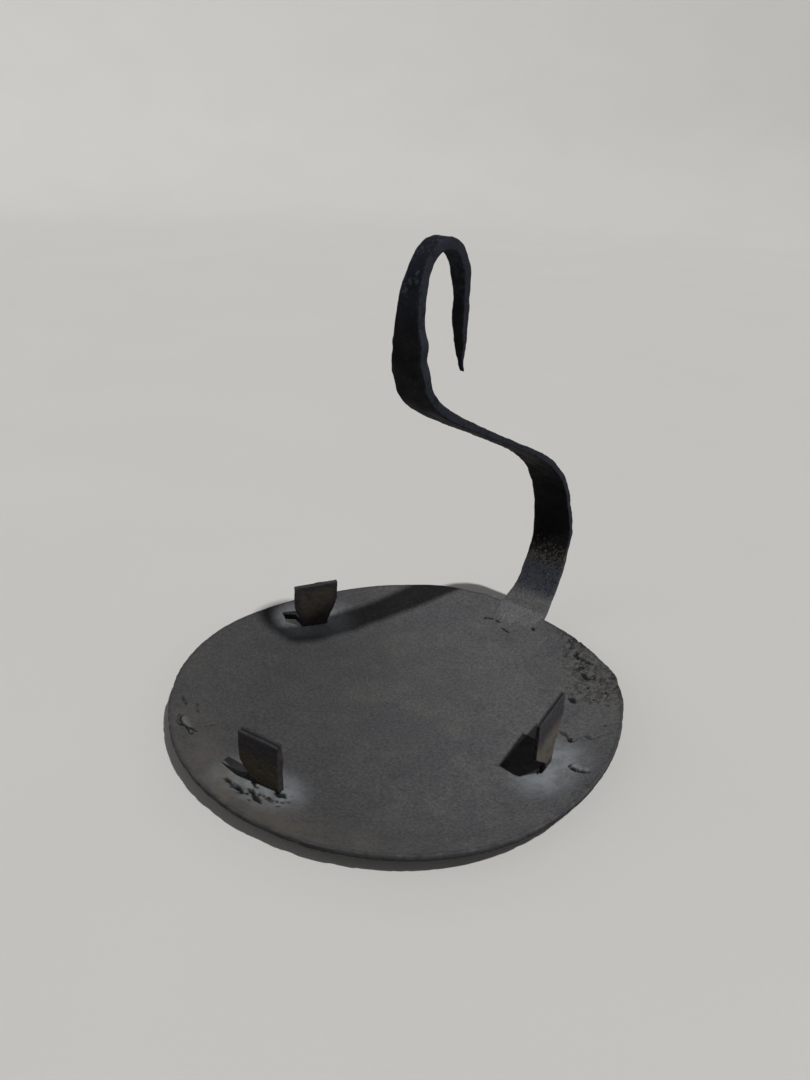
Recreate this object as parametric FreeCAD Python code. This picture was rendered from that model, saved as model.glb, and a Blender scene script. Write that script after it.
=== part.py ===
import FreeCAD, Part
import math
import os

# Hand-forged iron lamp holder: a shallow pan with three upright lugs that keep an oil dish in place,
# and a strap hanger that bows up from the rim and ends in a hook above the pan.
# Millimetres. +Z is up, +Y points from the pan's centre to the hanger's root, and the origin is the
# centre of the pan's flat underside.

# Driving dimensions
PAN_RADIUS = 80.0         # mean radius of the hand-cut rim
SHEET = 2.2               # thickness of the pan's iron sheet
FLAT_RADIUS = 48.0        # the floor is flat inside this radius
RIM_RISE = 6.0            # height of the rim's underside above the flat underside
SLIT_PLAY = 0.1           # play between a lug and its slit, on each face
SHOULDER = 1.2            # overhang of a lug's foot on the sheet, where its slit ends short of it
TAIL_LENGTH = 10.0        # how far a lug's tail is turned outwards under the pan
TAIL_SHEET = 1.0          # thickness of the hammered tail
TABLE_PLAY = 0.15         # the tails stay this far above the table that the pan rests on
HANGER_OFFSET = 2.4       # the hanger's plane stands this far to the +X side of the centre

# The rim was cut by eye, so it is not a true circle: each wave is count, share of the radius, phase.
RIM_WAVES = [(2, 0.007, 130.0), (3, 0.009, -106.0), (4, 0.006, 155.0), (5, 0.006, -140.0)]
# It also has corners between straighter cuts: each is bearing, how far it stands out, reach in degrees.
RIM_CORNERS = [(38.0, 0.6, 5.0), (48.0, 1.1, 5.0), (332.0, 0.3, 6.0)]
RIM_POINTS = 96           # points on the outline that the waves and corners give
BLANK_OVERSIZE = 1.06     # the round blank is this much wider than the mean rim

# Each lug: bearing from +X, distance of its middle from the centre, turn away from the tangent, thickness,
# width at the top and at the foot, height above the floor, sideways shift of the foot, shares of its height
# below which each side narrows to the foot, and how far the slit runs on past the foot, with the sign of
# the side that it runs to.
LUGS = {
    "lug_right": {
        "bearing": 4.5, "distance": 59.9, "turn": 4.0, "sheet": 1.6, "top": 20.3, "foot": 5.4,
        "height": 24.0, "shift": -1.8, "knees": (0.68, 0.42), "run": 3.0,
    },
    "lug_left": {
        "bearing": 163.3, "distance": 62.0, "turn": -13.4, "sheet": 2.0, "top": 18.0, "foot": 10.2,
        "height": 19.3, "shift": -0.6, "knees": (0.43, 0.61), "run": -6.0,
    },
    "lug_front": {
        "bearing": 267.5, "distance": 62.6, "turn": 11.4, "sheet": 2.6, "top": 15.8, "foot": 11.4,
        "height": 18.4, "shift": -2.1, "knees": (0.32, 0.35), "run": 8.0,
    },
}
LUG_FOOT = 0.08           # share of its height that the foot keeps straight

# The hanger's middle line in its own upright plane, from the tongue under the rim to the hook's tip.
HANGER_ROUTE = [
    (67.5, 2.5), (73.5, 4.0), (79.5, 6.5), (84.0, 11.0), (88.0, 17.5), (92.3, 27.0), (94.9, 39.0),
    (93.6, 53.0), (87.0, 67.0), (74.0, 78.6), (57.0, 87.6), (40.5, 95.4), (25.0, 102.8),
    (11.6, 109.8), (2.0, 117.4), (-1.9, 126.0), (-2.6, 134.8), (-2.0, 144.0), (0.4, 152.8),
    (5.7, 159.8), (12.9, 161.4), (19.5, 156.9), (22.2, 148.4), (22.5, 139.5), (22.9, 130.2),
    (25.2, 120.6),
]
# Width and thickness of the strap at shares of its length
HANGER_WIDTHS = [
    (0.0, 16.0), (0.046, 21.0), (0.1, 17.6), (0.2, 17.2), (0.3, 15.4), (0.37, 14.4), (0.48, 12.8),
    (0.56, 13.6), (0.63, 14.0), (0.68, 12.0), (0.72, 9.4), (0.77, 7.0), (0.8, 6.2), (0.87, 5.4),
    (0.94, 4.6), (1.0, 1.4),
]
HANGER_THICKNESSES = [
    (0.0, 1.6), (0.046, 3.8), (0.1, 3.0), (0.3, 2.8), (0.45, 2.4), (0.55, 3.0), (0.68, 3.8),
    (0.76, 4.2), (0.86, 3.8), (0.94, 3.2), (1.0, 1.2),
]

CURVE_RADIUS = ((PAN_RADIUS - FLAT_RADIUS) ** 2 + RIM_RISE ** 2) / (2 * RIM_RISE)


def vec(x, y, z=0.0):
    return FreeCAD.Vector(x, y, z)


def underside(radius):
    """Height of the pan's underside at a radius outside the flat."""
    return CURVE_RADIUS - math.sqrt(CURVE_RADIUS ** 2 - (radius - FLAT_RADIUS) ** 2)


def rim_radius(angle):
    """Radius of the hand-cut rim at an angle in radians from +X."""
    waves = sum(share * math.cos(count * angle - math.radians(phase)) for count, share, phase in RIM_WAVES)
    bearing = math.degrees(angle)
    corners = sum(out * math.exp(-((bearing - at) / reach) ** 2) for at, out, reach in RIM_CORNERS)
    return PAN_RADIUS * (1 + waves) + corners


def between(stations, share):
    """Value at a share of the length, between the nearest two stations."""
    for (low, first), (high, second) in zip(stations, stations[1:]):
        if share <= high:
            return first + (second - first) * (share - low) / (high - low)
    return stations[-1][1]


def brim_point(radius, angle):
    """Point of the pan's profile on an arc about the centre of its curved brim."""
    return vec(FLAT_RADIUS + radius * math.sin(angle), 0, CURVE_RADIUS - radius * math.cos(angle))


def pan_blank():
    """Pan as a full round saucer, before the rim and the slits are cut."""
    sweep = math.asin((PAN_RADIUS * BLANK_OVERSIZE - FLAT_RADIUS) / (CURVE_RADIUS - SHEET))
    low = [brim_point(CURVE_RADIUS, sweep * part) for part in (0, 0.5, 1)]
    high = [brim_point(CURVE_RADIUS - SHEET, sweep * part) for part in (1, 0.5, 0)]
    edges = [
        Part.LineSegment(vec(0, 0, 0), low[0]).toShape(),
        Part.Arc(*low).toShape(),
        Part.LineSegment(low[2], high[0]).toShape(),
        Part.Arc(*high).toShape(),
        Part.LineSegment(high[2], vec(0, 0, SHEET)).toShape(),
        Part.LineSegment(vec(0, 0, SHEET), vec(0, 0, 0)).toShape(),
    ]
    return Part.Face(Part.Wire(edges)).revolve(vec(0, 0, 0), vec(0, 0, 1), 360)


def rim_prism():
    """Upright prism of the hand-cut outline, which trims the saucer's edge."""
    outline = []
    for step in range(RIM_POINTS):
        angle = 2 * math.pi * step / RIM_POINTS
        radius = rim_radius(angle)
        outline.append(vec(radius * math.cos(angle), radius * math.sin(angle), -PAN_RADIUS / 2))
    curve = Part.BSplineCurve()
    curve.interpolate(Points=outline, PeriodicFlag=True)
    return Part.Face(Part.Wire(curve.toShape())).extrude(vec(0, 0, PAN_RADIUS))


def lug_placement(spec):
    """Local X runs along the lug's width, local Y points outwards, local Z up."""
    angle = math.radians(spec["bearing"])
    spot = vec(spec["distance"] * math.cos(angle), spec["distance"] * math.sin(angle))
    return FreeCAD.Placement(spot, FreeCAD.Rotation(vec(0, 0, 1), spec["bearing"] - 90 + spec["turn"]))


def foot_span(spec):
    """Ends of a lug's foot along local X."""
    return spec["shift"] - spec["foot"] / 2, spec["shift"] + spec["foot"] / 2


def slit_span(spec):
    """Ends of a slit along local X: past the foot on one side, short of it on the other."""
    low, high = foot_span(spec)
    if spec["run"] > 0:
        return low + SHOULDER, high + spec["run"]
    return low + spec["run"], high - SHOULDER


def slit(spec):
    """Upright block that cuts a lug's slit."""
    low, high = slit_span(spec)
    depth = spec["sheet"] + 2 * SLIT_PLAY
    cut = Part.makeBox(high - low, depth, PAN_RADIUS, vec(low, -depth / 2, -PAN_RADIUS / 2))
    cut.Placement = lug_placement(spec)
    return cut


def pan():
    body = pan_blank().common(rim_prism())
    for spec in LUGS.values():
        body = body.cut(slit(spec))
    return body


def plate(outline, push):
    """Flat plate from its closed outline, pushed out by a vector."""
    return Part.Face(Part.makePolygon(outline + outline[:1])).extrude(push)


def blade(spec, floor):
    """The part of a lug that stands above the sheet, narrowing to its foot."""
    low, high = foot_span(spec)
    half = spec["top"] / 2
    back = -spec["sheet"] / 2
    low_knee, high_knee = (floor + spec["height"] * knee for knee in spec["knees"])
    straight = floor + spec["height"] * LUG_FOOT
    tip = floor + spec["height"]
    return plate([
        vec(low, back, floor - SHEET / 2),
        vec(high, back, floor - SHEET / 2),
        vec(high, back, straight),
        vec(half, back, high_knee),
        vec(half, back, tip),
        vec(-half, back, tip),
        vec(-half, back, low_knee),
        vec(low, back, straight),
    ], vec(0, spec["sheet"], 0))


def lug(spec, seat):
    """Upright blade on a tenon through its slit, with the tail turned out under the sheet."""
    foot_low, foot_high = foot_span(spec)
    slit_low, slit_high = slit_span(spec)
    distance = spec["distance"]
    sheet = spec["sheet"]
    floor = underside(distance) + SHEET
    tenon_low = max(foot_low, slit_low + SLIT_PLAY)
    width = min(foot_high, slit_high - SLIT_PLAY) - tenon_low
    bottom = max(underside(distance) - TAIL_SHEET, TABLE_PLAY)
    tenon = Part.makeBox(width, sheet, floor - bottom, vec(tenon_low, -sheet / 2, bottom))
    end = sheet / 2 + TAIL_LENGTH
    end_bottom = underside(distance + end) - TAIL_SHEET
    into_sheet = TAIL_SHEET + SHEET / 2
    tail = plate([
        vec(tenon_low, -sheet / 2, bottom),
        vec(tenon_low, end, end_bottom),
        vec(tenon_low, end, end_bottom + into_sheet),
        vec(tenon_low, -sheet / 2, bottom + into_sheet),
    ], vec(width, 0, 0))
    body = blade(spec, floor).fuse(tenon).fuse(tail).removeSplitter()
    body.Placement = lug_placement(spec)
    return body.cut(seat)


def strap_section(point, along, width, thickness):
    """Rectangle across the strap at a point, square to the direction that the strap runs in."""
    out = vec(0, -along.z, along.y).normalize() * (thickness / 2)
    side = vec(width / 2, 0)
    corners = [point - side - out, point + side - out, point + side + out, point - side + out]
    return Part.makePolygon(corners + corners[:1])


def hanger(seat):
    """One strap: a thin tongue under the rim, an outward bow, a run back over the pan, and a hook."""
    points = [vec(HANGER_OFFSET, y, z) for y, z in HANGER_ROUTE]
    reach = [0.0]
    for first, second in zip(points, points[1:]):
        reach.append(reach[-1] + first.distanceToPoint(second))
    last = len(points) - 1
    sections = []
    for index, point in enumerate(points):
        along = points[min(index + 1, last)] - points[max(index - 1, 0)]
        share = reach[index] / reach[-1]
        width = between(HANGER_WIDTHS, share)
        thickness = between(HANGER_THICKNESSES, share)
        sections.append(strap_section(point, along, width, thickness))
    return Part.makeLoft(sections, True, False).cut(seat)


def largest_solid(shape):
    """The piece itself, without the slivers that a cut can leave."""
    return max(shape.Solids, key=lambda solid: solid.Volume)


os.makedirs("parts", exist_ok=True)
saucer = largest_solid(pan())
pieces = {"pan": saucer, "hanger": largest_solid(hanger(saucer))}
for name, spec in LUGS.items():
    pieces[name] = largest_solid(lug(spec, saucer))
for name, shape in pieces.items():
    box = shape.BoundBox
    sides = [round(side, 1) for side in (box.XMin, box.XMax, box.YMin, box.YMax, box.ZMin, box.ZMax)]
    print(name, "valid", shape.isValid(), "volume", round(shape.Volume), "box", sides)
    shape.exportStep("parts/" + name + ".step")
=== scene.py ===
import itertools
import math

import bmesh
import bpy
import numpy as np
from mathutils import Matrix, Vector


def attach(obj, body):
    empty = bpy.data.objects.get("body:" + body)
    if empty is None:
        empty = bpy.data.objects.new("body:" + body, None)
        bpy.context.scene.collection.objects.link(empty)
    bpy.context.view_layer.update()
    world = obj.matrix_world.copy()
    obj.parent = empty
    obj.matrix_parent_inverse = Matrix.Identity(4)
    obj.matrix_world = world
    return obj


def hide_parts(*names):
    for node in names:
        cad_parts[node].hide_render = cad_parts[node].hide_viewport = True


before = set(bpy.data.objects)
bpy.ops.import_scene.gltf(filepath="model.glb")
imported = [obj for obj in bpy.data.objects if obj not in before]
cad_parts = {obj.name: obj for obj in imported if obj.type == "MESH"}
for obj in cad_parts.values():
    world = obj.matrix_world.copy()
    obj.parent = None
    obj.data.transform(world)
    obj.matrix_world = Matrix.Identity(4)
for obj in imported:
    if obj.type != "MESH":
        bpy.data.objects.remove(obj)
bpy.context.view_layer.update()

# Hand-forged iron lamp holder. Shapes are worked out in millimetres and stored in metres. +Z is up, and +Y
# runs from the pan's centre to the hanger's root. A bearing is in degrees from +X towards +Y.
MM = 0.001

# The pan
RIM_RADIUS = 80.0
FLAT_RADIUS = 48.0
RIM_RISE = 6.0
SHEET = 2.2
BRIM_CURVE = ((RIM_RADIUS - FLAT_RADIUS) ** 2 + RIM_RISE ** 2) / (2 * RIM_RISE)
RIM_WAVES = [(2, 0.007, 130.0), (3, 0.009, -106.0), (4, 0.006, 155.0), (5, 0.006, -140.0)]
# Corners between straighter cuts of the rim: bearing, how far each stands out, reach in degrees
RIM_CORNERS = [(38.0, 0.6, 5.0), (48.0, 1.1, 5.0), (332.0, 0.3, 6.0)]
PAN_RINGS = 160           # rings of faces on the pan's upper face

# The lugs: bearing, distance from the centre, turn away from the tangent, thickness, height above the floor,
# and the fall of the top edge along the run as a share of that height
LUGS = {
    "lug_right": (4.5, 59.9, 4.0, 1.6, 24.0, 0.045),
    "lug_left": (163.3, 62.0, -13.4, 2.0, 19.3, -0.035),
    "lug_front": (267.5, 62.6, 11.4, 2.6, 18.4, -0.02),
}
LUG_RUN = 20.0            # the top edge falls over this much of its run

# The hanger's middle line (y, z) in its own upright plane, from the tongue to the hook's tip
HANGER_X = 2.4
HANGER_ROUTE = [
    (67.5, 2.5), (73.5, 4.0), (79.5, 6.5), (84.0, 11.0), (88.0, 17.5), (92.3, 27.0), (94.9, 39.0),
    (93.6, 53.0), (87.0, 67.0), (74.0, 78.6), (57.0, 87.6), (40.5, 95.4), (25.0, 102.8),
    (11.6, 109.8), (2.0, 117.4), (-1.9, 126.0), (-2.6, 134.8), (-2.0, 144.0), (0.4, 152.8),
    (5.7, 159.8), (12.9, 161.4), (19.5, 156.9), (22.2, 148.4), (22.5, 139.5), (22.9, 130.2),
    (25.2, 120.6),
]
# Width and thickness of the strap at shares of its length
HANGER_WIDTHS = [
    (0.0, 16.0), (0.046, 21.0), (0.1, 17.6), (0.2, 17.2), (0.3, 15.4), (0.37, 14.4), (0.48, 12.8),
    (0.56, 13.6), (0.63, 14.0), (0.68, 12.0), (0.72, 9.4), (0.77, 7.0), (0.8, 6.2), (0.87, 5.4),
    (0.94, 4.6), (1.0, 1.4),
]
HANGER_THICKNESSES = [
    (0.0, 1.6), (0.046, 3.8), (0.1, 3.0), (0.3, 2.8), (0.45, 2.4), (0.55, 3.0), (0.68, 3.8),
    (0.76, 4.2), (0.86, 3.8), (0.94, 3.2), (1.0, 1.2),
]
HANGER_STEP = 0.8         # distance between the strap's sections


# Repeatable noise

def lattice(cell, seed):
    """A fixed value from -1 to 1 for each whole-number cell."""
    mixed = cell.astype(np.int64) @ np.array([374761393, 668265263, 1103515245]) + seed * 69069
    mixed = (mixed ^ (mixed >> 13)) * 1274126177
    return ((mixed ^ (mixed >> 16)) & 0xFFFF) / 32767.5 - 1


def noise(points, size, seed):
    """Smooth noise from -1 to 1 with lumps of that size."""
    scaled = points / size
    cell = np.floor(scaled)
    part = scaled - cell
    part = part * part * (3 - 2 * part)
    total = np.zeros(len(points))
    for corner in itertools.product((0, 1), repeat=3):
        weight = np.prod(np.where(corner, part, 1 - part), axis=1)
        total += weight * lattice(cell + corner, seed)
    return total


def layered(points, size, seed, layers=3):
    """Noise with finer noise on it."""
    return sum(noise(points, size / 2 ** layer, seed + layer) / 2 ** layer for layer in range(layers))


def cells(points, spacing, seed):
    """Squared distances, in cells, to the nearest and the second nearest of many scattered points."""
    cell = np.floor(points / spacing)
    first = np.full(len(points), 9.0)
    second = first.copy()
    for corner in itertools.product((-1, 0, 1), repeat=3):
        near = cell + corner
        jitter = np.stack([lattice(near, seed + axis) for axis in range(3)], axis=1) * 0.4 + 0.5
        away = np.sum((points / spacing - near - jitter) ** 2, axis=1)
        second = np.minimum(second, np.maximum(first, away))
        first = np.minimum(first, away)
    return first, second


def facets(points, spacing, seed):
    """Shallow bowls side by side, as a hammer leaves them: 0 at each bowl's middle, 1 at its border."""
    return np.clip(cells(points, spacing, seed)[0], 0, 1)


def fissures(points, spacing, seed):
    """1 on a net of thin broken lines, 0 between them."""
    bent = points + np.stack([0.5 * noise(points, spacing / 2, seed + axis) for axis in (7, 8, 9)], axis=1)
    first, second = cells(bent, spacing, seed)
    return smooth(0.22, 0.06, second - first) * smooth(-0.25, 0.35, noise(points, spacing * 1.3, seed + 5))


def smooth(low, high, value):
    """0 below low and 1 above high, with a soft step between. low may be the larger one."""
    share = np.clip((value - low) / (high - low), 0, 1)
    return share * share * (3 - 2 * share)


# Meshes

def add_piece(name, points, faces):
    """Object at the frame's origin from points in millimetres."""
    mesh = bpy.data.meshes.new(name)
    mesh.from_pydata((np.asarray(points) * MM).tolist(), [], faces)
    mesh.update()
    piece = bpy.data.objects.new(name, mesh)
    bpy.context.scene.collection.objects.link(piece)
    return piece


def read_points(piece):
    """Places of a piece's vertices, in millimetres."""
    flat = np.zeros(len(piece.data.vertices) * 3)
    piece.data.vertices.foreach_get("co", flat)
    return flat.reshape(-1, 3) / MM


def write_points(piece, points):
    """Moves a piece's vertices to these places, in millimetres."""
    piece.data.vertices.foreach_set("co", (points * MM).ravel())
    piece.data.update()


def read_normals(piece):
    flat = np.zeros(len(piece.data.vertices) * 3)
    piece.data.vertex_normals.foreach_get("vector", flat)
    return flat.reshape(-1, 3)


def write_masks(piece, masks):
    """Stores what the materials read: one value from 0 to 1 per vertex under each name."""
    for name, values in masks.items():
        attribute = piece.data.attributes.new(name, "FLOAT", "POINT")
        attribute.data.foreach_set("value", np.clip(values, 0, 1).astype(np.float32))


def apply_modifiers(piece):
    """Makes what the modifiers show the piece's own mesh."""
    shown = piece.evaluated_get(bpy.context.evaluated_depsgraph_get())
    mesh = bpy.data.meshes.new_from_object(shown)
    piece.modifiers.clear()
    piece.data = mesh


def face_outwards(piece):
    """Turns every face of a closed mesh outwards."""
    mesh = bmesh.new()
    mesh.from_mesh(piece.data)
    bmesh.ops.recalc_face_normals(mesh, faces=mesh.faces)
    mesh.to_mesh(piece.data)
    mesh.free()


def shade(piece, crease):
    """Smooth shading, except at edges sharper than the crease angle in degrees."""
    piece.data.shade_smooth()
    piece.data.set_sharp_from_angle(angle=math.radians(crease))


# The pan's surface

def underside(radius):
    """Height of the pan's underside at a radius."""
    out = np.clip(radius - FLAT_RADIUS, 0, None)
    return BRIM_CURVE - np.sqrt(BRIM_CURVE ** 2 - out ** 2)


def rim_radius(bearing):
    """Radius of the hand-cut rim."""
    turn = np.radians(bearing)
    waves = sum(share * np.cos(count * turn - math.radians(phase)) for count, share, phase in RIM_WAVES)
    corners = sum(out * np.exp(-((bearing - at) / reach) ** 2) for at, out, reach in RIM_CORNERS)
    return RIM_RADIUS * (1 + waves) + corners


def polar(x, y):
    """Radius and bearing."""
    return np.hypot(x, y), np.degrees(np.arctan2(y, x)) % 360


# Cracks and chips in the sheet: start, end, half width, depth
CRACKS = [
    ((-54.6, -53.6), (-50.2, -55.4), 0.4, 0.3),
    ((-49.0, -51.6), (-44.2, -55.0), 0.3, 0.22),
    ((-43.6, -64.4), (-36.6, -61.8), 0.5, 0.4),
    ((-47.0, -60.5), (-43.6, -64.4), 0.3, 0.25),
    ((-37.8, -60.0), (-36.2, -54.0), 0.25, 0.15),
    ((-9.4, 68.2), (-5.8, 69.6), 0.45, 0.4),
    ((-5.4, 69.8), (-2.6, 69.0), 0.4, 0.35),
    ((0.2, 72.4), (2.8, 69.4), 0.5, 0.5),
    ((0.2, 66.8), (4.8, 65.8), 0.4, 0.35),
    ((11.2, 72.9), (12.6, 72.2), 0.6, 0.4),
    ((34.6, 66.0), (38.2, 63.8), 0.5, 0.5),
    ((38.2, 63.8), (42.8, 63.6), 0.4, 0.45),
    ((43.2, 57.6), (46.4, 55.2), 0.45, 0.5),
    ((46.6, 42.8), (50.0, 41.6), 0.75, 0.6),
    ((54.4, 45.8), (57.8, 44.1), 0.4, 0.4),
    ((68.0, 8.1), (71.0, 7.4), 0.5, 0.4),
    ((0.6, -69.0), (5.0, -70.3), 0.75, 0.7),
    ((-2.4, -68.2), (0.8, -68.8), 0.5, 0.4),
    ((4.6, -62.9), (7.4, -62.4), 1.1, 0.9),
    ((4.2, -66.4), (7.8, -67.4), 0.4, 0.35),
    ((-4.6, -65.2), (-1.2, -65.8), 0.5, 0.5),
    ((-7.6, -71.4), (-0.6, -70.4), 0.55, 0.6),
    ((31.0, 39.4), (38.6, 42.4), 0.3, 0.1),
]

# Lifted flakes of scale: middle, half length, half width, direction in which it lifts, rise
FLAKES = [
    ((-7.4, -68.2), 3.4, 2.4, 264.0, 1.0),
    ((1.0, -66.6), 2.6, 1.3, 282.0, 0.5),
    ((6.4, -65.6), 2.2, 1.2, 300.0, 0.45),
    ((70.2, 10.4), 3.2, 2.5, 258.0, 0.45),
    ((-41.0, -60.6), 4.2, 2.4, 250.0, 0.3),
    ((40.0, 66.4), 4.2, 2.0, 248.0, 0.3),
]

# Slits under the lugs, in each lug's own run and outward distance from its middle. Each is open where the
# lug doesn't fill it, and tears to a point.
SLITS = {
    "lug_right": [(-3.3, -0.95), (4.4, -0.95), (5.6, 0.1), (4.0, 0.9), (-3.3, 0.95)],
    "lug_left": [
        (3.3, -1.1), (3.3, 1.1), (-5.0, 1.3), (-7.4, 6.6), (-12.2, 7.4), (-12.0, 3.0), (-6.2, -1.1),
    ],
    "lug_front": [(-6.4, -1.4), (6.0, -1.4), (8.6, 0.2), (17.4, 0.3), (8.1, 2.9), (2.6, 2.2), (-6.4, 1.4)],
}

# Painted shadow: the black patch beside the right lug where that lug's shadow falls, in that lug's own run
# and outward distance
RIGHT_LUG_SHADOW = [(7.2, -12.8), (-20.2, -11.6), (-3.0, 0.9), (3.7, 0.6), (8.9, -5.4)]

# Small pits: middle, radius, depth
PITS = [
    ((-6.4, -72.0), 0.8, 0.5), ((-2.4, -71.4), 0.9, 0.5), ((8.6, -65.0), 0.8, 0.6), ((10.6, -63.4), 0.6, 0.4),
    ((9.6, -67.0), 0.5, 0.4), ((2.0, -72.0), 0.7, 0.5), ((59.5, 22.0), 0.9, 0.8), ((49.8, 51.0), 0.7, 0.5),
    ((66.0, 33.4), 0.5, 0.3), ((53.0, 52.6), 0.7, 0.5), ((57.2, 50.0), 0.6, 0.4), ((61.0, 44.6), 0.6, 0.4),
]


def from_line(x, y, start, end):
    """Distance of each point from a straight line between two spots, and the share of it that is nearest."""
    run_x, run_y = end[0] - start[0], end[1] - start[1]
    away_x, away_y = x - start[0], y - start[1]
    share = np.clip((away_x * run_x + away_y * run_y) / (run_x ** 2 + run_y ** 2), 0, 1)
    return np.hypot(away_x - share * run_x, away_y - share * run_y), share


def sides(corners):
    """Start and end of each side of a closed outline."""
    return zip(corners, corners[1:] + corners[:1])


def cracks(x, y, wobble):
    """How deep the cracks go at each point."""
    depth = np.zeros(len(x))
    for start, end, half, deep in CRACKS:
        away, share = from_line(x, y, start, end)
        away = away + wobble * 0.3
        width = half * (0.5 + 2 * share * (1 - share))
        depth = np.maximum(depth, deep * smooth(width * 1.7, width * 0.5, away))
    return depth


def pits(x, y, wobble):
    """How deep the pits go at each point."""
    depth = np.zeros(len(x))
    for (px, py), radius, deep in PITS:
        away = np.hypot(x - px, y - py) + wobble * 0.6
        depth = np.maximum(depth, deep * smooth(radius * 1.15, radius * 0.45, away))
    return depth


def flakes(x, y, wobble):
    """Rise of the lifted flakes, and the gap along the side that lifts, where the shade under the flake is
    painted dark.
    """
    rise = np.zeros(len(x))
    gap = np.zeros(len(x))
    for (px, py), long, wide, bearing, lift in FLAKES:
        turn = math.radians(bearing)
        out = ((x - px) * math.cos(turn) + (y - py) * math.sin(turn)) / wide
        across = ((y - py) * math.cos(turn) - (x - px) * math.sin(turn)) / long
        border = np.maximum(np.maximum(np.abs(out + 0.3 * across), np.abs(across - 0.2 * out)),
                            0.75 * np.abs(out - 0.5 * across)) + wobble * 0.1
        rise = np.maximum(rise, lift * smooth(1.0, 0.86, border) * smooth(-1.0, 0.7, out))
        gap = np.maximum(gap, smooth(1.35, 1.1, border) * smooth(0.94, 1.04, border) * smooth(0.1, 0.6, out))
    return rise, gap


# The rust crust at the back right: its inner border by bearing, and the edges that face the front, by x
CRUST_INNER = ([14.0, 25.0, 42.0, 52.0, 62.0, 72.0], [60.0, 57.0, 60.0, 63.5, 67.0, 76.0])
LOW_EDGE = (
    [50.0, 53.5, 57.0, 58.6, 60.3, 61.1, 62.2, 63.6, 65.3, 68.6, 72.0, 80.0],
    [26.5, 24.8, 23.7, 22.3, 21.8, 23.2, 26.4, 26.2, 25.6, 30.2, 31.5, 34.0],
)
# Depth of the gap under the crust's lower edge, by x; the shade in it is painted dark
LOW_GAP = (
    [53.0, 54.0, 58.0, 59.5, 61.0, 62.0, 65.5, 69.0, 70.0],
    [0.0, 0.7, 0.8, 1.3, 0.9, 0.5, 0.6, 0.3, 0.0],
)
MID_EDGE = ([40.0, 46.8, 49.9, 52.1, 61.0, 74.0], [46.0, 43.4, 42.0, 43.8, 43.6, 41.0])


def crust(points, radius, bearing):
    """Height of the crust, where it lies, and the painted shade along its lower edge together with the dark
    specks in it.
    """
    x, y = points[:, 0], points[:, 1]
    ragged = layered(points, 2.4, 31)
    inner = smooth(0.0, 4.0, radius - np.interp(bearing, *CRUST_INNER) + ragged)
    inner *= smooth(82.0, 68.0, bearing)
    past_low = y - np.interp(x, *LOW_EDGE) + ragged * 0.25
    past_mid = y - np.interp(x, *MID_EDGE) + ragged * 0.9
    plate = smooth(-0.1, 0.3, past_low) * smooth(51.0, 54.0, x + ragged) * smooth(58.0, 62.0, radius)
    rough = smooth(-0.3, 0.4, past_mid) * inner
    lumps = layered(points, 1.3, 41, 2)
    height = plate * smooth(46.0, 36.0, y) * 0.4 + rough * (0.1 + 0.16 * lumps)
    width = 0.42 + 0.4 * np.interp(x, *LOW_GAP)
    gap = np.interp(x, *LOW_GAP) * smooth(width, width * 0.4, np.abs(past_low + width * 0.8))
    specks = fissures(points, 1.9, 43) * smooth(-0.4, 0.2, noise(points, 6.0, 47))
    specks = rough * np.maximum(specks, 0.8 * smooth(0.62, 0.9, -layered(points, 0.9, 49, 2)))
    return height, rough, np.maximum(np.clip(gap, 0, 1), specks)


def to_world(name, outline, height):
    """Points given in a lug's own run and outward distance, at a height."""
    bearing, distance, turn, *_ = LUGS[name]
    along = math.radians(bearing - 90 + turn)
    spot = math.radians(bearing)
    return [(
        distance * math.cos(spot) + run * math.cos(along) - out * math.sin(along),
        distance * math.sin(spot) + run * math.sin(along) + out * math.cos(along),
        height,
    ) for run, out in outline]


def to_lug(name, points):
    """Run and outward distance of each point from a lug's middle."""
    bearing, distance, turn, *_ = LUGS[name]
    along = math.radians(bearing - 90 + turn)
    spot = math.radians(bearing)
    x = points[:, 0] - distance * math.cos(spot)
    y = points[:, 1] - distance * math.sin(spot)
    return x * math.cos(along) + y * math.sin(along), y * math.cos(along) - x * math.sin(along)


def foot_halo(points, reach):
    """1 at the foot of each lug, 0 that far from it."""
    near = np.zeros(len(points))
    for name in LUGS:
        run, out = to_lug(name, points)
        away = np.hypot(np.clip(np.abs(run) - 6, 0, None), out - 2.0)
        near = np.maximum(near, smooth(reach, 0.0, away))
    return near


def painted_lug_shadow(points):
    """1 where the right lug's shadow is painted black on the sheet beside it."""
    corners = to_world("lug_right", RIGHT_LUG_SHADOW, 0.0)
    inside = np.full(len(points), np.inf)
    for (ax, ay, _), (bx, by, _) in sides(corners):
        across = (by - ay) * (points[:, 0] - ax) - (bx - ax) * (points[:, 1] - ay)
        inside = np.minimum(inside, across / math.hypot(bx - ax, by - ay))
    return smooth(-0.5, 0.2, inside)


def slit_walls(points):
    """1 on the borders of the two slits that lie in shade; that shade is painted black on them."""
    close = 0.05
    near = np.full(len(points), np.inf)
    for name in ("lug_right", "lug_left"):
        for start, end in sides(to_world(name, SLITS[name], 0.0)):
            near = np.minimum(near, from_line(points[:, 0], points[:, 1], start, end)[0])
    return (near < close).astype(float)


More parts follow.
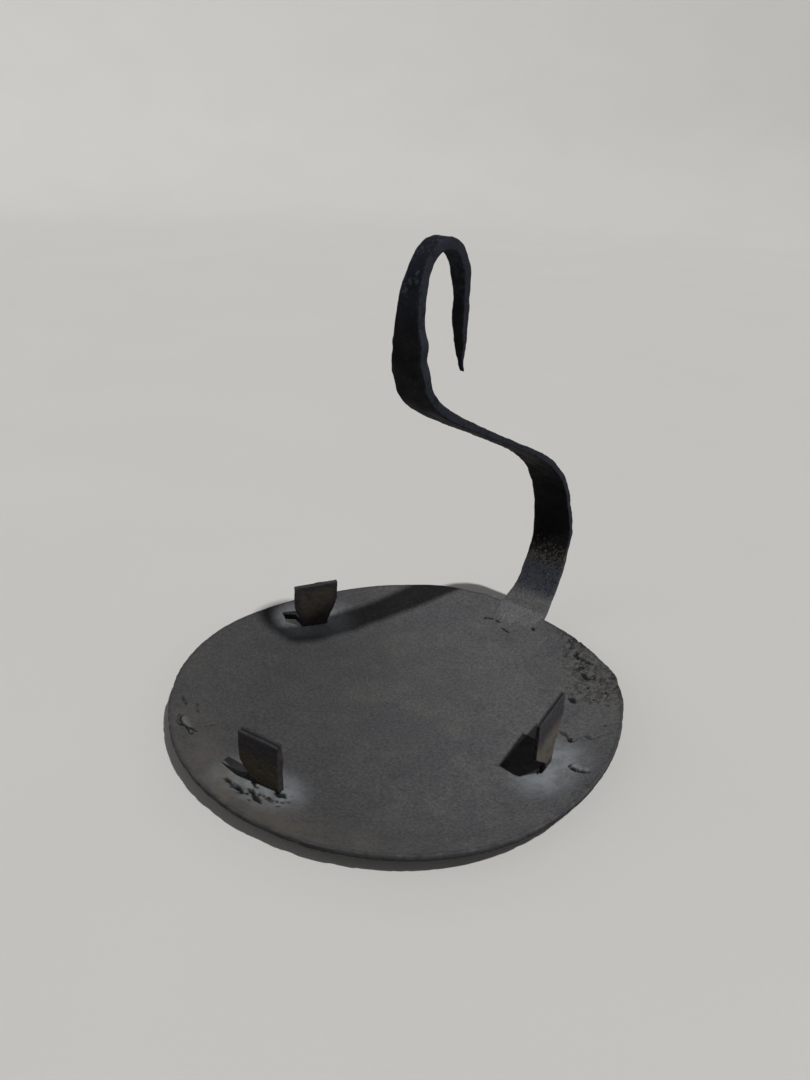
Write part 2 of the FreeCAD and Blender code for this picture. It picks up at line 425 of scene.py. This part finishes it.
def pan_relief(points):
    """Height to add to the pan's smooth upper face, and the masks for its material."""
    flat = points * np.array([1.0, 1.0, 0.0])
    radius, bearing = polar(flat[:, 0], flat[:, 1])
    edge = rim_radius(bearing) - radius
    wobble = 1.3 * layered(flat, 1.1, 11, 3)
    weld = smooth(10.5, 8.5, np.abs(flat[:, 0] - HANGER_X)) * (flat[:, 1] > 0)
    crack = cracks(flat[:, 0], flat[:, 1], wobble)
    pit = pits(flat[:, 0], flat[:, 1], wobble)
    rise, gap = flakes(flat[:, 0], flat[:, 1], wobble)
    crusted, crust_mask, undercut_shade_and_specks = crust(flat, radius, bearing)
    halo = foot_halo(flat, 15.0)
    soft = 0.35 * noise(flat, 46.0, 3) + 0.16 * noise(flat, 19.0, 5)
    beaten = 0.13 * facets(flat, 11.0, 7) + 0.04 * layered(flat, 3.0, 9)
    lip = 0.7 * smooth(66.0, 80.0, radius) * np.exp(-((bearing - 112.0) / 10.0) ** 2)
    lip += 0.9 * smooth(72.0, 80.0, radius) * np.exp(-((bearing - 100.5) / 4.0) ** 2)
    lip += 0.25 * smooth(70.0, 80.0, radius) * noise(flat, 14.0, 15)
    worn_off = 0.45 * smooth(0.9, 0.0, edge) ** 2 * (1 - weld)
    height = soft + beaten + lip + crusted + rise + 0.3 * foot_halo(flat, 9.0)
    height -= crack + pit + 0.55 * gap + 0.4 * undercut_shade_and_specks + worn_off
    masks = {
        # Cracks and pits, and painted shade under lifted flakes and along the crust's lower edge
        "cavity": np.maximum.reduce([crack * 3.0, pit * 2.4, gap, undercut_shade_and_specks]),
        # Painted shadow beside the right lug
        "painted_shade": painted_lug_shadow(flat),
        "crust": crust_mask,
        "worn": np.maximum(halo, smooth(0.1, 0.5, rise)),
        "rim": smooth(1.9, 0.3, edge) * (1 - weld),
        "tan": smooth(58.0, 76.0, radius) * np.exp(-((bearing - 268.0) / 34.0) ** 2),
        # Darker towards the front left and paler towards the back right
        "paler_tone": smooth(-90.0, 90.0, flat[:, 0] + flat[:, 1]),
    }
    return height, masks


def disc_grid(rings):
    """Square grid bent onto a disc: each share of the radius, each bearing, the quads and the border."""
    side = 2 * rings + 1
    steps = np.linspace(-1, 1, side)
    a, b = (grid.ravel() for grid in np.meshgrid(steps, steps))
    share = np.maximum(np.abs(a), np.abs(b))
    wide = np.abs(a) >= np.abs(b)
    safe = np.where(share > 0, share, 1)
    turn = np.where(wide, b * np.sign(a) / safe * 45 + np.where(a < 0, 180, 0),
                    90 - a * np.sign(b) / safe * 45 + np.where(b < 0, 180, 0))
    index = np.arange(side * side).reshape(side, side)
    corners = [index[:-1, :-1], index[:-1, 1:], index[1:, 1:], index[1:, :-1]]
    quads = np.stack(corners, axis=-1).reshape(-1, 4)
    border = np.concatenate([index[0, :-1], index[:-1, -1], index[-1, :0:-1], index[:0:-1, 0]])
    return share, turn % 360, quads, border


def disc_points(rings):
    """Grid points on the pan's outline, closer together near the rim."""
    share, bearing, quads, border = disc_grid(rings)
    edge = rim_radius(bearing)
    spot = np.stack([np.cos(np.radians(bearing)), np.sin(np.radians(bearing)), 0 * bearing], axis=1)
    nicked = edge - 0.1 - 0.35 * np.clip(layered(spot * RIM_RADIUS, 5.0, 17), 0, 1)
    nicked -= 0.25 * np.clip(noise(spot * RIM_RADIUS, 1.3, 19) - 0.25, 0, 1)
    radius = nicked * share * (1.28 - 0.28 * share ** 2)
    return spot * radius[:, None], quads, border


def pan_blank():
    """The pan as one closed mesh, without its slits."""
    top, top_quads, top_border = disc_points(PAN_RINGS)
    top[:, 2] = underside(np.hypot(top[:, 0], top[:, 1])) + SHEET
    top[:, 2] += pan_relief(top)[0]
    low, low_quads, low_border = disc_points(PAN_RINGS // 2)
    low[:, 2] = underside(np.hypot(low[:, 0], low[:, 1])) + 0.12 * facets(low, 11.0, 7)
    rim = top[top_border]
    walls = [rim - [0, 0, 0.35], rim - [0, 0, SHEET * 0.75]]
    for wall in walls:
        wall[:, :2] *= 1 + 0.08 / RIM_RADIUS
    points = np.vstack([top, *walls, low])
    faces = top_quads.tolist()
    count = len(top_border)
    first_wall = len(top)
    second_wall = first_wall + count
    low_start = second_wall + count
    rings = [top_border, first_wall + np.arange(count), second_wall + np.arange(count)]
    for upper, lower in zip(rings, rings[1:]):
        after_upper, after_lower = np.roll(upper, -1), np.roll(lower, -1)
        faces += np.stack([upper, lower, after_lower, after_upper], axis=1).tolist()
    faces += (low_quads[:, ::-1] + low_start).tolist()
    bottom = low_border + low_start
    for index, start in enumerate(bottom):
        end = bottom[(index + 1) % len(bottom)]
        left, middle, right = (int(second_wall + (2 * index + step) % count) for step in range(3))
        faces += [(left, int(start), middle), (middle, int(start), int(end)), (middle, int(end), right)]
    return add_piece("forged_pan", points, faces)


def cut_slits(piece):
    """Cuts the slits under the lugs right through the pan."""
    cutters = []
    for name, outline in SLITS.items():
        count = len(outline)
        points = to_world(name, outline, -5.0) + to_world(name, outline, 20.0)
        faces = [list(range(count))[::-1], list(range(count, 2 * count))]
        for step in range(count):
            after = (step + 1) % count
            faces.append([step, after, count + after, count + step])
        cutter = add_piece("cutter_" + name, points, faces)
        face_outwards(cutter)
        cut = piece.modifiers.new(name, "BOOLEAN")
        cut.operation = "DIFFERENCE"
        cut.solver = "MANIFOLD"
        cut.object = cutter
        cutters.append(cutter)
    apply_modifiers(piece)
    for cutter in cutters:
        bpy.data.objects.remove(cutter)


def make_pan():
    """The pan with its slits and with the masks for its material."""
    piece = pan_blank()
    cut_slits(piece)
    points = read_points(piece)
    radius = np.hypot(points[:, 0], points[:, 1])
    masks = pan_relief(points)[1]
    depth = points[:, 2] - underside(radius)
    for name in ("cavity", "crust", "worn", "tan", "painted_shade"):
        masks[name] = masks[name] * smooth(0.8, 1.4, depth)
    # Painted shade: the walls of the two slits that lie in shade join the right lug's painted shadow
    masks["painted_shade"] = np.maximum(masks["painted_shade"], slit_walls(points))
    outline = rim_radius(polar(points[:, 0], points[:, 1])[1])
    # Painted shade: the rim's outer edge face is painted near black all round
    masks["wall"] = smooth(1.7, 1.3, depth) * smooth(0.98, 0.99, radius / outline)
    write_masks(piece, masks)
    shade(piece, 55)
    return piece


# The hanger

def spline(knots, values, at):
    """Natural cubic spline through the values at the knots."""
    step = np.diff(knots)
    slope = np.diff(values) / step
    count = len(knots)
    system = np.eye(count)
    right = np.zeros(count)
    for row in range(1, count - 1):
        system[row, row - 1:row + 2] = [step[row - 1], 2 * (step[row - 1] + step[row]), step[row]]
        right[row] = 6 * (slope[row] - slope[row - 1])
    bend = np.linalg.solve(system, right)
    span = np.clip(np.searchsorted(knots, at) - 1, 0, count - 2)
    before, after = at - knots[span], knots[span + 1] - at
    width = step[span]
    cubic = (bend[span] * after ** 3 + bend[span + 1] * before ** 3) / (6 * width)
    line = (values[span] / width - bend[span] * width / 6) * after
    return cubic + line + (values[span + 1] / width - bend[span + 1] * width / 6) * before


def stations(table, shares):
    """Values at shares of the length, between the nearest two stations."""
    knots, values = zip(*table)
    return np.interp(shares, knots, values)


def section_loop(half, low, high):
    """Rectangle with rounded corners: offsets across and through the strap, corners and narrow sides."""
    corner = min(0.28 * (high - low), 0.55, half * 0.6)
    flat, deep = half - corner, (high - low) / 2 - corner
    middle = (high + low) / 2
    across, through, edge, side = [], [], [], []
    for turn in (1, -1):
        for part in np.linspace(-1, 1, 17):
            across.append(-turn * part * flat)
            through.append(middle + turn * (deep + corner))
            edge.append(0.6 * abs(part) ** 8)
            side.append(0.0)
        for angle in np.radians((22, 45, 68)):
            across.append(-turn * (flat + corner * math.sin(angle)))
            through.append(middle + turn * (deep + corner * math.cos(angle)))
            edge.append(1.0)
            side.append(float(angle > 1))
        for part in (1, 0.33, -0.33, -1):
            across.append(-turn * half)
            through.append(middle + turn * deep * part)
            edge.append(0.5)
            side.append(1.0)
        for angle in np.radians((68, 45, 22)):
            across.append(-turn * (flat + corner * math.sin(angle)))
            through.append(middle - turn * (deep + corner * math.cos(angle)))
            edge.append(1.0)
            side.append(float(angle > 1))
    return tuple(np.array(values) for values in (across, through, edge, side))


def make_hanger():
    """The strap as one closed mesh swept along its route, beaten and worn."""
    route = np.array(HANGER_ROUTE)
    reach = np.concatenate([[0], np.cumsum(np.hypot(*np.diff(route, axis=0).T))])
    at = np.linspace(0, reach[-1], int(reach[-1] / HANGER_STEP))
    y, z = spline(reach, route[:, 0], at), spline(reach, route[:, 1], at)
    slope_y, slope_z = np.gradient(y, at), np.gradient(z, at)
    length = np.hypot(slope_y, slope_z)
    slope_y, slope_z = slope_y / length, slope_z / length
    shares = at / reach[-1]
    line = np.stack([at, 0 * at, 0 * at], axis=1)
    half = stations(HANGER_WIDTHS, shares) / 2
    half += 0.12 + 0.28 * noise(line, 11.0, 61) + 0.14 * noise(line, 4.0, 62)
    thick = stations(HANGER_THICKNESSES, shares) / 2
    lean = -1.1 * np.exp(-((shares - 0.046) / 0.035) ** 2) + 0.3 * noise(line, 17.0, 63)
    lean += 0.5 * smooth(0.1, 0.18, shares) * smooth(0.8, 0.6, shares)
    lean += 0.4 * smooth(0.05, 0.1, shares) * smooth(0.24, 0.16, shares)
    bulge = 0.55 * np.exp(-((z - 134.0) / 4.0) ** 2) + 0.3 * np.exp(-((z - 124.0) / 3.0) ** 2)
    bulge *= y < 10
    lean += bulge
    half += bulge
    tip = smooth(0.86, 1.0, shares)
    lean += tip * 0.5 * noise(line, 7.0, 64)
    rows, edge_rows, side_rows = [], [], []
    for index, share in enumerate(shares):
        low, high = -thick[index], thick[index]
        if y[index] < 84 and z[index] < 12:
            surface = underside(min(y[index], RIM_RADIUS)) + SHEET + 0.05
            needed = (surface - z[index]) / max(slope_y[index], 0.3)
            feather = float(smooth(68.0, 77.0, y[index])) * 0.9 - 0.9
            root = float(smooth(84.0, 79.0, y[index]))
            high = high * (1 - root) + max(needed + feather, high * 0.4) * root
        across, through, edge, side = section_loop(half[index], low, high)
        rows.append(np.stack([
            HANGER_X + lean[index] + across,
            y[index] - slope_z[index] * through,
            z[index] + slope_y[index] * through,
        ], axis=1))
        edge_rows.append(edge)
        side_rows.append(side)
    points = np.vstack(rows)
    size = len(rows[0])
    index = np.arange(len(points)).reshape(len(rows), size)
    after = np.roll(index, -1, axis=1)
    faces = np.stack([index[:-1], after[:-1], after[1:], index[1:]], axis=-1).reshape(-1, 4).tolist()
    faces += [index[0][::-1].tolist(), index[-1].tolist()]
    piece = add_piece("forged_hanger", points, faces)
    face_outwards(piece)
    edges, flanks = np.concatenate(edge_rows), np.concatenate(side_rows)
    along = np.repeat(shares, size)
    beaten = 0.22 * facets(points, 8.5, 71) - 0.22 + 0.07 * layered(points, 3.0, 73)
    beaten += edges * 0.16 * layered(points, 2.4, 75)
    beaten += smooth(0.93, 1.0, along) * 0.25 * layered(points, 1.8, 77)
    beaten *= smooth(0.03, 0.09, along)
    write_points(piece, points + read_normals(piece) * beaten[:, None])
    root = smooth(0.06, 0.12, along)
    write_masks(piece, {"edge": edges * root, "side": flanks * root, "crown": smooth(0.40, 0.52, along)})
    shade(piece, 60)
    return piece


# The lugs

def even_copy(node, name, voxel, passes):
    """The CAD piece as an even mesh with its edges softened."""
    mesh = bmesh.new()
    mesh.from_mesh(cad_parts[node].data)
    bmesh.ops.remove_doubles(mesh, verts=mesh.verts, dist=0.001 * MM)
    data = bpy.data.meshes.new(name)
    mesh.to_mesh(data)
    mesh.free()
    piece = bpy.data.objects.new(name, data)
    bpy.context.scene.collection.objects.link(piece)
    even = piece.modifiers.new("even", "REMESH")
    even.mode = "VOXEL"
    even.voxel_size = voxel * MM
    soften = piece.modifiers.new("soften", "SMOOTH")
    soften.factor = 0.5
    soften.iterations = passes
    apply_modifiers(piece)
    return piece


def make_lug(node, seed):
    """The lug beaten and worn, with its top edge sloped and split by a fine groove."""
    bearing, distance, turn, sheet, height, fall = LUGS[node]
    piece = even_copy(node, "forged_" + node, 0.25, 2)
    points = read_points(piece)
    normals = read_normals(piece)
    along = math.radians(bearing - 90 + turn)
    facing = normals @ np.array([math.cos(along), math.sin(along), 0])
    run, out = to_lug(node, points)
    floor = float(underside(distance)) + SHEET
    up = (points[:, 2] - floor) / height
    blade = smooth(0.0, 0.15, up)
    top = smooth(0.93, 0.985, up)
    beaten = 0.13 * layered(points, 5.0, seed) + 0.06 * layered(points, 1.6, seed + 4)
    ends = np.abs(facing)
    ragged = 0.3 * layered(points, 3.2, seed + 8) - 0.1
    points = points + normals * (blade * (beaten + ends * ragged))[:, None]
    slope = np.clip(0.5 + math.copysign(1, fall) * run / LUG_RUN, 0, 1)
    points[:, 2] -= np.clip(points[:, 2] - floor, 0, None) * abs(fall) * slope
    groove = np.clip(1 - (np.abs(out) / (sheet * 0.22)) ** 2, 0, 1)
    points[:, 2] -= top * (0.5 * groove + 0.25 * (0.5 + 0.5 * layered(points, 4.0, seed + 12)))
    write_points(piece, points)
    border = np.maximum(smooth(0.8, 0.98, up), smooth(0.2, 0.0, up))
    side = np.abs(run) / max(np.abs(run).max(), 1)
    write_masks(piece, {
        "edge": np.maximum(top, ends * 0.8) * blade,
        "face": (1 - border) * smooth(0.98, 0.6, side),
        "outer": smooth(0.2, 0.8, out / (sheet / 2)) * blade,
        "high": smooth(0.45, 0.75, up),
        "groove": top * groove,
        "end": smooth(0.5, 0.9, facing) * blade,
    })
    shade(piece, 60)
    return piece


# Materials

# Near black for cracks, pits and the lugs' top grooves, and for painted shade beside the right lug, on two
# slits' walls and under flakes and the crust's edge
BLACK_FOR_BREAKS_AND_SHADE = (0.006, 0.006, 0.007)
WORN_GREY = (0.168, 0.184, 0.198)


class Look:
    """One material, with short ways to add its nodes. Patterns lie in the object's own space."""

    def __init__(self, name):
        self.material = bpy.data.materials.new(name)
        self.material.use_nodes = True
        self.nodes = self.material.node_tree.nodes
        self.links = self.material.node_tree.links
        self.nodes.clear()
        self.coords = self.add("ShaderNodeTexCoord").outputs["Object"]

    def add(self, kind, sockets=None, **settings):
        node = self.nodes.new(kind)
        for name, value in settings.items():
            setattr(node, name, value)
        for name, value in (sockets or {}).items():
            self.feed(node.inputs[name], value)
        return node

    def feed(self, socket, value):
        if isinstance(value, bpy.types.NodeSocket):
            self.links.new(value, socket)
        else:
            socket.default_value = value

    def noise(self, size, detail=4.0, roughness=0.55, shift=0.0):
        """Noise with lumps of that size in millimetres."""
        place = self.add("ShaderNodeVectorMath", {0: self.coords, 1: (shift, shift, shift)}).outputs[0]
        sockets = {"Vector": place, "Scale": 1 / (size * MM), "Detail": detail, "Roughness": roughness}
        return self.add("ShaderNodeTexNoise", sockets).outputs["Fac"]

    def ramp(self, value, low, high, out_low=0.0, out_high=1.0):
        sockets = {0: value, 1: low, 2: high, 3: out_low, 4: out_high}
        return self.add("ShaderNodeMapRange", sockets, interpolation_type="SMOOTHSTEP").outputs[0]

    def maths(self, operation, first, second):
        node = self.add("ShaderNodeMath", {0: first, 1: second}, operation=operation, use_clamp=True)
        return node.outputs[0]

    def mix(self, share, first, second, blend="MIX"):
        node = self.add("ShaderNodeMix", data_type="RGBA", blend_type=blend)
        self.feed(node.inputs[0], share)
        for socket, value in ((node.inputs[6], first), (node.inputs[7], second)):
            self.feed(socket, (*value, 1.0) if isinstance(value, tuple) else value)
        return node.outputs[2]

    def mask(self, name):
        return self.add("ShaderNodeAttribute", attribute_name=name).outputs["Fac"]

    def patchy(self, name, noise, low, high, out_low=0.0, out_high=1.0):
        """A mask broken up by noise."""
        return self.maths("MULTIPLY", self.mask(name), self.ramp(noise, low, high, out_low, out_high))

    def height(self):
        return self.add("ShaderNodeSeparateXYZ", {0: self.coords}).outputs["Z"]

    def bump(self, height, distance, below=None):
        """Surface relief of that depth in millimetres, on top of another relief."""
        sockets = {"Height": height, "Distance": distance * MM, "Strength": 1.0}
        if below is not None:
            sockets["Normal"] = below
        return self.add("ShaderNodeBump", sockets).outputs["Normal"]

    def finish(self, colour, roughness, normal, metallic, specular):
        sockets = {"Base Color": colour, "Roughness": roughness, "Normal": normal}
        shader = self.add("ShaderNodeBsdfPrincipled", sockets)
        shader.inputs["Metallic"].default_value = metallic
        shader.inputs["Specular IOR Level"].default_value = specular
        self.add("ShaderNodeOutputMaterial", {"Surface": shader.outputs[0]})
        return self.material


def sheet_colour(look):
    """Dusty grey iron with slightly darker and paler patches and a fine grain."""
    broad = look.ramp(look.noise(22, 5, 0.6), 0.36, 0.64)
    colour = look.mix(broad, (0.056, 0.056, 0.057), (0.047, 0.048, 0.052))
    paler = look.ramp(look.noise(9, 4, 0.6, 3.1), 0.5, 0.7, 0.0, 0.5)
    colour = look.mix(paler, colour, (0.068, 0.067, 0.065))
    darker = look.ramp(look.noise(13, 4, 0.65, 7.7), 0.55, 0.72, 0.0, 0.5)
    colour = look.mix(darker, colour, (0.037, 0.038, 0.043))
    grain = look.ramp(look.noise(1.0, 4, 0.75, 1.3), 0.32, 0.68, 0.70, 1.32)
    tint = look.add("ShaderNodeCombineXYZ", {0: grain, 1: grain, 2: grain}).outputs[0]
    colour = look.mix(1.0, colour, tint, "MULTIPLY")
    specks = look.ramp(look.noise(0.8, 2, 0.5, 5.5), 0.66, 0.72, 0.0, 0.5)
    colour = look.mix(specks, colour, (0.022, 0.022, 0.025))
    pale = look.ramp(look.noise(0.7, 2, 0.5, 9.1), 0.67, 0.73, 0.0, 0.5)
    return look.mix(pale, colour, (0.115, 0.113, 0.108))


def sheet_surface(look):
    """Roughness and fine relief of the sheet, shared by the pan and the strap that grows out of it."""
    normal = look.bump(look.noise(3.5, 5, 0.65), 0.32)
    normal = look.bump(look.noise(0.8, 3, 0.6), 0.10, normal)
    return look.ramp(look.noise(6, 4, 0.6, 5.1), 0.3, 0.7, 0.65, 0.88), normal


def pan_material():
    """Sheet iron with worn, tan and crusted places, a dark rim and black breaks, paler towards the back
    right, with painted shade on the rim's outer edge face, under lifted flakes and the crust's edge, beside
    the right lug and in two slits.
    """
    look = Look("pan_iron")
    colour = sheet_colour(look)
    # Colour from 0.79 times at the front left to 1.32 times at the back right
    tone_factor = look.ramp(look.mask("paler_tone"), 0.0, 1.0, 0.79, 1.32)
    tint = look.add("ShaderNodeCombineXYZ", {0: tone_factor, 1: tone_factor, 2: tone_factor}).outputs[0]
    colour = look.mix(1.0, colour, tint, "MULTIPLY")
    patchy = look.ramp(look.noise(5, 4, 0.65, 2.2), 0.36, 0.6)
    worn = look.maths("MULTIPLY", look.mask("worn"), look.ramp(patchy, 0.0, 1.0, 0.6, 1.0))
    colour = look.mix(worn, colour, WORN_GREY)
    tan = look.patchy("tan", look.noise(7, 4, 0.6, 4.4), 0.35, 0.65, 0.3, 0.9)
    colour = look.mix(tan, colour, (0.078, 0.070, 0.060))
    crusty = look.mask("crust")
    mottled = look.ramp(look.noise(2.2, 4, 0.7, 6.6), 0.4, 0.6)
    mottle = look.mix(mottled, (0.034, 0.034, 0.036), (0.090, 0.089, 0.083))
    colour = look.mix(look.maths("MULTIPLY", crusty, 0.75), colour, mottle)
    rim = look.patchy("rim", look.noise(3, 3, 0.6, 8.8), 0.3, 0.7, 0.35, 0.95)
    colour = look.mix(rim, colour, (0.028, 0.029, 0.034))
    # Painted shade on the rim's outer edge face
    colour = look.mix(look.mask("wall"), colour, (0.012, 0.012, 0.014))
    # Black in cracks and pits, and painted shade under lifted flakes and the crust's edge
    colour = look.mix(look.mask("cavity"), colour, BLACK_FOR_BREAKS_AND_SHADE)
    # Painted shade: black for the right lug's shadow and for the walls of the two slits in shade
    colour = look.mix(look.maths("MULTIPLY", look.mask("painted_shade"), 0.95), colour, BLACK_FOR_BREAKS_AND_SHADE)
    return look.finish(colour, *sheet_surface(look), 0.0, 0.25)


def hanger_material():
    """Black forge scale, darker than scale itself so that it also carries painted shade, with bluish bare
    places. Towards the root it takes on the sheet's colour, made paler there as painted light.
    """
    look = Look("hanger_iron")
    broad = look.ramp(look.noise(12, 5, 0.6), 0.42, 0.66)
    # Painted shade: this black is darker than forge scale itself
    black = look.mix(broad, (0.0020, 0.0020, 0.0023), (0.0040, 0.0042, 0.0056))
    scuffs = look.ramp(look.noise(2.0, 4, 0.7, 3.0), 0.58, 0.72, 0.0, 0.5)
    black = look.mix(scuffs, black, (0.010, 0.011, 0.015))
    crown = look.patchy("crown", look.noise(8, 4, 0.6, 9.0), 0.3, 0.6, 0.2, 0.9)
    high = look.ramp(look.height(), 0.136, 0.154, 0.25, 1.0)
    black = look.mix(look.maths("MULTIPLY", crown, high), black, (0.008, 0.010, 0.016))
    bare = look.maths("MAXIMUM", look.ramp(look.height(), 0.140, 0.154), look.mask("side"))
    flecks = look.maths("MULTIPLY", bare, look.ramp(look.noise(1.3, 3, 0.7, 12.0), 0.48, 0.66))
    flecks = look.maths("MULTIPLY", flecks, look.ramp(look.noise(8, 3, 0.6, 15.0), 0.38, 0.58))
    black = look.mix(flecks, black, (0.030, 0.036, 0.050))
    side = look.patchy("side", look.noise(5, 4, 0.6, 6.0), 0.3, 0.6, 0.3, 1.0)
    black = look.mix(side, black, (0.016, 0.019, 0.027))
    edge = look.patchy("edge", look.noise(3, 4, 0.65, 1.7), 0.46, 0.66, 0.0, 0.8)
    black = look.mix(edge, black, (0.020, 0.023, 0.033))
    height = look.height()
    share = look.ramp(height, 0.007, 0.047, 0.44, -0.14)
    grainy = look.ramp(look.maths("ADD", look.noise(0.8, 3, 0.7, 4.0), share), 0.50, 0.64)
    # Painted light: the sheet colour made paler here than on the pan, to offset the shade where the root
    # turns steep
    grey = look.mix(1.0, sheet_colour(look), (1.75, 1.75, 1.75), "MULTIPLY")
    paler_tone = look.mix(look.ramp(height, 0.011, 0.018), grey, (0.036, 0.040, 0.050))
    paler_tone = look.mix(look.ramp(height, 0.024, 0.032), paler_tone, (0.060, 0.054, 0.037))
    zone = look.maths("MULTIPLY", look.ramp(height, 0.012, 0.017), look.ramp(height, 0.040, 0.030))
    dark = look.maths("MULTIPLY", zone, look.ramp(look.noise(0.9, 2, 0.6, 21.0), 0.54, 0.62, 0.0, 0.85))
    paler_tone = look.mix(dark, paler_tone, (0.010, 0.012, 0.018))
    pale = look.maths("MULTIPLY", zone, look.ramp(look.noise(0.8, 2, 0.6, 27.0), 0.62, 0.7, 0.0, 0.7))
    paler_tone = look.mix(pale, paler_tone, (0.100, 0.104, 0.110))
    colour = look.mix(grainy, black, paler_tone)
    return look.finish(colour, *sheet_surface(look), 0.0, 0.1)


def lug_material(name, outer, upper, end):
    """Dark iron. The three given colours paint light and shade: they are tones of the face that looks away
    from the dish, of that face's top part and of the end that its run points to, each made lighter or darker
    for how light falls there."""
    look = Look(name)
    broad = look.ramp(look.noise(5, 4, 0.65), 0.36, 0.64)
    base = look.mix(broad, (0.014, 0.012, 0.013), (0.023, 0.020, 0.022))
    brown = look.patchy("face", look.noise(4, 4, 0.6, 2.0), 0.34, 0.6)
    base = look.mix(brown, base, (0.032, 0.027, 0.021))
    # Painted light and shade: the outer face's tone, with its top part's tone above
    tone = look.mix(look.mask("high"), outer, upper)
    share = look.patchy("outer", look.noise(6, 3, 0.6, 7), 0.2, 0.5, 0.45, 1.0)
    base = look.mix(share, base, tone)
    edge = look.patchy("edge", look.noise(2.4, 3, 0.6, 4.0), 0.25, 0.6, 0.2, 0.9)
    base = look.mix(edge, base, (0.032, 0.033, 0.037))
    base = look.mix(look.mask("groove"), base, BLACK_FOR_BREAKS_AND_SHADE)
    # The end's painted tone of light and shade, black as shade on the right lug
    base = look.mix(look.maths("MULTIPLY", look.mask("end"), 0.9), base, end)
    normal = look.bump(look.noise(2.6, 5, 0.65), 0.3)
    normal = look.bump(look.noise(0.7, 3, 0.6), 0.07, normal)
    roughness = look.ramp(look.noise(4, 4, 0.6, 5.1), 0.3, 0.7, 0.55, 0.82)
    return look.finish(base, roughness, normal, 0.0, 0.2)


# Stage

def make_floor():
    """Pale floor that curves up into a far slope all round."""
    flat, cove, slope, count = 1.6, 0.8, 3.4, 96
    profile = [(0.0, 0.0), (flat * 0.25, 0.0), (flat, 0.0)]
    for angle in np.linspace(0, math.pi / 4, 9)[1:]:
        profile.append((flat + cove * math.sin(angle), cove - cove * math.cos(angle)))
    profile.append((profile[-1][0] + slope, profile[-1][1] + slope))
    points = [(0.0, 0.0, 0.0)]
    for radius, height in profile[1:]:
        for step in range(count):
            angle = 2 * math.pi * step / count
            points.append((radius * math.cos(angle) / MM, radius * math.sin(angle) / MM, height / MM))
    faces = [(0, 1 + step, 1 + (step + 1) % count) for step in range(count)]
    for ring in range(len(profile) - 2):
        low, high = 1 + ring * count, 1 + (ring + 1) * count
        for step in range(count):
            after = (step + 1) % count
            faces.append((low + step, high + step, high + after, low + after))
    floor = add_piece("floor", points, faces)
    floor.data.shade_smooth()
    look = Look("floor_paint")
    colour = look.mix(look.noise(120, 3, 0.5), (0.50, 0.495, 0.485), (0.53, 0.525, 0.515))
    floor.data.materials.append(look.finish(colour, 0.8, look.bump(look.noise(2.0, 3, 0.5), 0.05), 0.0, 0.3))
    return floor


def add_lamp(name, place, target, size, power, colour):
    lamp = bpy.data.lights.new(name, "AREA")
    lamp.shape = "DISK"
    lamp.size = size
    lamp.energy = power
    lamp.color = colour
    holder = bpy.data.objects.new(name, lamp)
    holder.location = place
    holder.rotation_euler = (Vector(target) - Vector(place)).to_track_quat("-Z", "Y").to_euler()
    bpy.context.scene.collection.objects.link(holder)


def add_sun(direction, spread, strength, colour):
    """Even light from far away in that direction."""
    lamp = bpy.data.lights.new("key", "SUN")
    lamp.angle = spread
    lamp.energy = strength
    lamp.color = colour
    holder = bpy.data.objects.new("key", lamp)
    holder.rotation_euler = Vector(direction).to_track_quat("Z", "Y").to_euler()
    bpy.context.scene.collection.objects.link(holder)


def add_lights():
    add_sun((0.546, -0.04, 1.0), 0.035, 3.0, (1.0, 0.985, 0.96))
    add_lamp("fill", (-0.6, -1.0, 0.9), (0, 0, 0.05), 1.0, 0.9, (0.95, 0.97, 1.0))
    world = bpy.data.worlds.new("studio")
    world.use_nodes = True
    back = world.node_tree.nodes["Background"]
    back.inputs["Color"].default_value = (0.93, 0.96, 1.0, 1.0)
    back.inputs["Strength"].default_value = 0.10
    bpy.context.scene.world = world


def add_camera():
    """The viewpoint: above and to the front right, tipped down and rolled a little."""
    place = Vector((0.1678, -0.2033, 0.1933))
    heading, pitch, roll = math.radians(39.30), math.radians(25.48), math.radians(1.78)
    level = math.cos(pitch)
    ahead = Vector((-math.sin(heading) * level, math.cos(heading) * level, -math.sin(pitch)))
    right = Vector((math.cos(heading), math.sin(heading), 0.0))
    up = right.cross(ahead)
    turned_right = right * math.cos(roll) + up * math.sin(roll)
    turned_up = up * math.cos(roll) - right * math.sin(roll)
    data = bpy.data.cameras.new("camera")
    data.sensor_fit = "VERTICAL"
    data.sensor_height = 36.0
    data.lens = 29.27
    data.clip_start = 0.01
    data.clip_end = 20.0
    camera = bpy.data.objects.new("camera", data)
    axes = Matrix((turned_right, turned_up, -ahead)).transposed().to_4x4()
    camera.matrix_world = Matrix.Translation(place) @ axes
    bpy.context.scene.collection.objects.link(camera)
    bpy.context.scene.camera = camera


def put_in(piece, node, material):
    """Puts a finished piece in for its CAD node."""
    piece.data.materials.clear()
    piece.data.materials.append(material)
    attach(piece, "root")
    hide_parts(node)


add_camera()
put_in(make_pan(), "pan", pan_material())
put_in(make_hanger(), "hanger", hanger_material())
# Painted light and shade per lug: outer face, its top part and the end its run points to; the right lug's end
# is painted black as shade
LUG_LIGHT_AND_SHADE = {
    "lug_front": ((0.034, 0.028, 0.019), (0.013, 0.011, 0.014), (0.020, 0.020, 0.026)),
    "lug_left": ((0.020, 0.019, 0.023), (0.022, 0.020, 0.025), (0.014, 0.014, 0.017)),
    "lug_right": ((0.098, 0.087, 0.075), (0.029, 0.027, 0.032), (0.004, 0.004, 0.005)),
}
for seed, node in enumerate(LUGS):
    put_in(make_lug(node, 100 + 20 * seed), node, lug_material(node + "_iron", *LUG_LIGHT_AND_SHADE[node]))
make_floor()
add_lights()
bpy.context.scene.view_settings.view_transform = "Standard"
